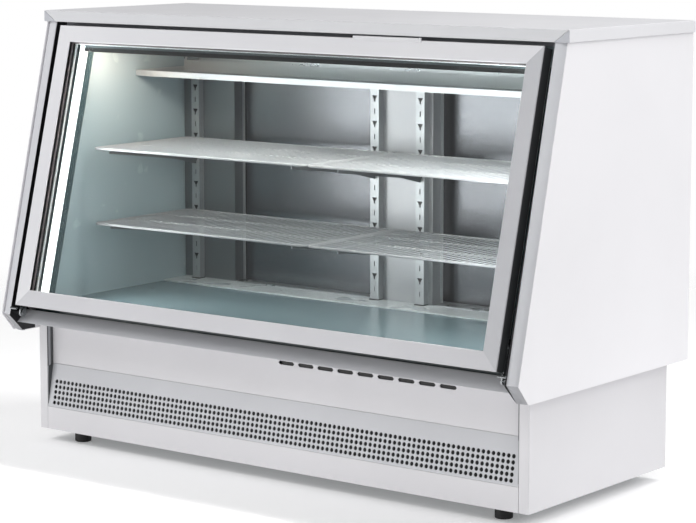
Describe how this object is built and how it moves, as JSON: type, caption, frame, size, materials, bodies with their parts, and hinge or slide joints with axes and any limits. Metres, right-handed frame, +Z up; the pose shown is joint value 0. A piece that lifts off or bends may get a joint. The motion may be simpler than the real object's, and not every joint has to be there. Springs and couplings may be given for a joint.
{
  "type": "refrigerated display case",
  "caption": "Floor-standing chilled display case with a sloped glass front that tips open, wire shelves, rear sliding doors and a pierced plinth grille.",
  "frame": {"origin": "on the floor, midway along the case and midway between the nose of the sloped front and the rear face", "axes": "+X along the case to the right as seen from the glass front, +Y to the rear doors, +Z up"},
  "size_m": [1.51, 0.698, 1.047],
  "materials": {
    "side_skin": "smooth off-white baked paint",
    "edge_trim": "silver-grey paint on a bent strip",
    "top_skin": "pale grey satin paint",
    "door_metal": "silver anodised, satin",
    "liner_metal": "grey-green satin paint",
    "dark_trim": "black, matt",
    "deck_steel": "dull brushed, reflective",
    "threshold_steel": "satin wear plate",
    "apron_paint": "grey satin paint",
    "base_paint": "pale warm grey satin paint",
    "grille_paint": "cool grey satin paint",
    "galvanised": "plain zinc coated sheet",
    "foot_rubber": "black, matt",
    "rear_steel": "satin",
    "mullion_paint": "pale grey paint",
    "track_plastic": "grey, satin",
    "pilaster_metal": "pale grey paint",
    "shelf_wire": "pale grey coated wire",
    "tray_metal": "pale grey paint",
    "fin_metal": "bare fins",
    "lamp_channel": "grey-teal extrusion",
    "lamp_lens": "frosted white",
    "clear_glass": "clear, faintly green",
    "spacer_metal": "plain",
    "black_seal": "black",
    "gasket_rubber": "light grey, soft",
    "bright_steel": "bright plated",
    "rear_door_skin": "grey satin skin",
    "machine_black": "black enamel",
    "machine_black_plastic": "black",
    "fan_plastic": "dark grey moulded",
    "pan_plastic": "grey moulded",
    "copper_pipe": "bare copper",
    "control_plastic": "grey moulded box"
  },
  "bodies": {
    "cabinet": {"base_tray": "galvanised", "breaker_strips": "dark_trim", "ceiling_panel": "liner_metal", "compressor": "machine_black", "condensate_pan": "pan_plastic", "condenser_coil": "fin_metal", "control_box": "control_plastic", "deck_panel": "deck_steel", "door_tracks": "track_plastic", "drip_tray": "tray_metal", "edge_trims": "edge_trim", "end_liners": "liner_metal", "end_panel_left": "side_skin", "end_panel_right": "side_skin", "evaporator_coil": "fin_metal", "fan_motor": "machine_black", "fan_shroud": "galvanised", "feet": "foot_rubber", "front_apron": "apron_paint", "front_grille": "grille_paint", "front_header": "liner_metal", "front_sill": "dark_trim", "hinge_pins": "bright_steel", "kick_panel": "base_paint", "lamp_lenses": "lamp_lens", "lamp_posts": "lamp_channel", "lower_front_panel": "base_paint", "pilasters": "pilaster_metal", "plinth_sides": "base_paint", "rear_header": "rear_steel", "rear_louvre_panel": "galvanised", "rear_mullion": "mullion_paint", "rear_sill": "rear_steel", "rear_stiles": "rear_steel", "refrigerant_lines": "copper_pipe", "shelf_brackets": "pilaster_metal", "threshold_plate": "threshold_steel", "top_lamp": "lamp_lens", "top_panel": "top_skin", "top_trims": "door_metal", "wire_shelf_lower_left": "shelf_wire", "wire_shelf_lower_right": "shelf_wire", "wire_shelf_upper_left": "shelf_wire", "wire_shelf_upper_right": "shelf_wire"},
    "front_door": {"door_top_rail": "door_metal", "door_bottom_rail": "door_metal", "door_left_stile": "door_metal", "door_right_stile": "door_metal", "door_glass": "clear_glass", "glass_spacer": "spacer_metal", "glazing_beads": "black_seal", "door_gasket": "gasket_rubber", "door_pull": "door_metal", "hinge_arms": "bright_steel"},
    "rear_door_left": {"slide_door_left": "rear_door_skin", "slide_door_left_pull": "track_plastic"},
    "rear_door_right": {"slide_door_right": "rear_door_skin", "slide_door_right_pull": "track_plastic"},
    "fan": {"fan_rotor": "fan_plastic"},
    "knob": {"thermostat_knob": "machine_black_plastic"}
  },
  "joints": [
    {"name": "front_door_tilt", "type": "hinge", "parent": "cabinet", "child": "front_door", "pos_m": [0, -0.32131, 0.32736], "axis": [1, 0, 0], "range_deg": [0, 50]},
    {"name": "rear_door_left_slide", "type": "slide", "parent": "cabinet", "child": "rear_door_left", "axis": [1, 0, 0], "range_m": [0, 0.619]},
    {"name": "rear_door_right_slide", "type": "slide", "parent": "cabinet", "child": "rear_door_right", "axis": [-1, 0, 0], "range_m": [0, 0.619]},
    {"name": "fan_spin", "type": "hinge", "parent": "cabinet", "child": "fan", "pos_m": [-0.43, -0.1, 0.127], "axis": [0, 1, 0], "continuous": true},
    {"name": "thermostat_turn", "type": "hinge", "parent": "cabinet", "child": "knob", "pos_m": [0.56, 0.32, 0.13], "axis": [0, -1, 0], "range_deg": [0, 270]}
  ]
}
